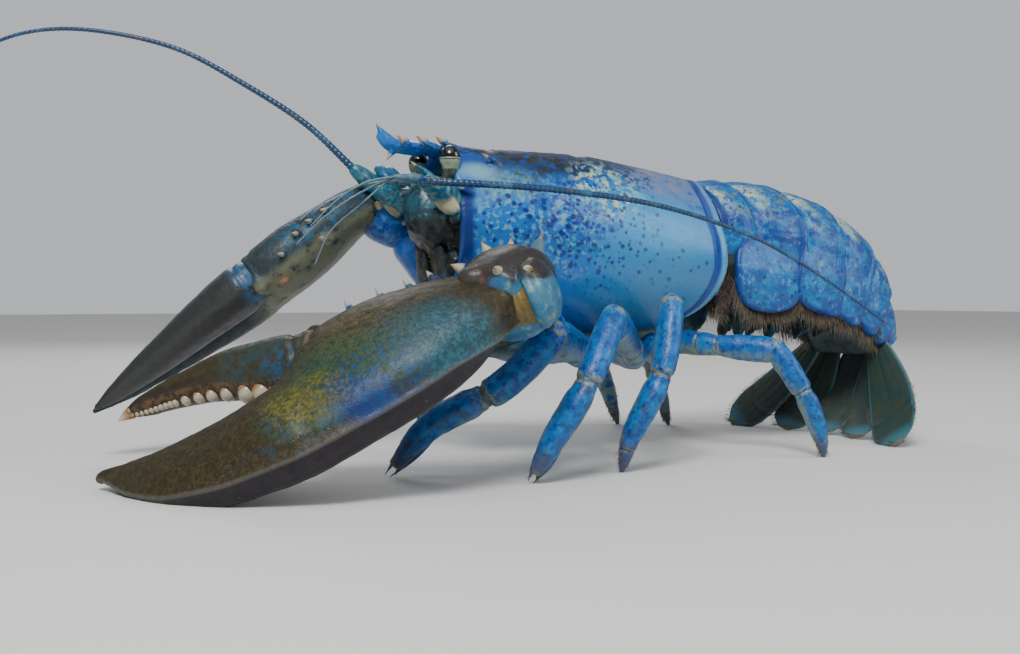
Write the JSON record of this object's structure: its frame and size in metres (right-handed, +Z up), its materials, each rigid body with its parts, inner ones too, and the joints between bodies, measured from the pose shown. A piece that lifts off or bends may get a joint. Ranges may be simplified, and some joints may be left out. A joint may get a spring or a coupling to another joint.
{
  "type": "american lobster",
  "caption": "Life-size still model of a blue american lobster standing with raised claws, long feelers and its tail fan tucked under.",
  "frame": {"origin": "middle of the model's footprint, on the floor that it stands on", "axes": "+Z up; -X the way the head points, +X the way the tail lies; -Y the animal's left side, with the crusher claw"},
  "size_m": [0.4044, 0.1916, 0.161],
  "materials": {
    "shell": "semi-gloss mottled blue",
    "claw": "semi-gloss olive brown with blue and gold",
    "leg": "semi-gloss mottled blue",
    "eye": "gloss black over pale green",
    "feeler": "satin dark blue",
    "tail_fan": "satin green blue",
    "underside": "satin cream and grey blue"
  },
  "bodies": {
    "root": {"carapace": "shell", "sternum": "underside", "abdomen_1": "shell", "abdomen_2": "shell", "abdomen_3": "shell", "abdomen_4": "shell", "abdomen_5": "shell", "abdomen_6": "shell", "telson": "tail_fan", "uropod_left_inner": "tail_fan", "uropod_left_outer": "tail_fan", "uropod_right_inner": "tail_fan", "uropod_right_outer": "tail_fan", "face": "underside", "eye_left": "eye", "arm_left_ischium": "underside", "arm_left_merus": "shell", "arm_left_carpus": "claw", "crusher_palm": "claw", "crusher_finger": "claw", "antenna_left_root": "shell", "antennule_left": "feeler", "maxilliped_left": "underside", "eye_right": "eye", "arm_right_ischium": "underside", "arm_right_merus": "shell", "arm_right_carpus": "claw", "cutter_palm": "claw", "cutter_finger": "claw", "antenna_right_root": "shell", "antennule_right": "feeler", "maxilliped_right": "underside", "leg2_left_upper": "leg", "leg2_left_lower": "leg", "leg3_left_upper": "leg", "leg3_left_lower": "leg", "leg4_left_upper": "leg", "leg4_left_lower": "leg", "leg5_left_upper": "leg", "leg5_left_lower": "leg", "leg2_right_upper": "leg", "leg2_right_lower": "leg", "leg3_right_upper": "leg", "leg3_right_lower": "leg", "leg4_right_upper": "leg", "leg4_right_lower": "leg", "leg5_right_upper": "leg", "leg5_right_lower": "leg", "antenna_left_1": "feeler", "antenna_left_2": "feeler", "antenna_right_1": "feeler", "antenna_right_2": "feeler"}
  },
  "joints": []
}
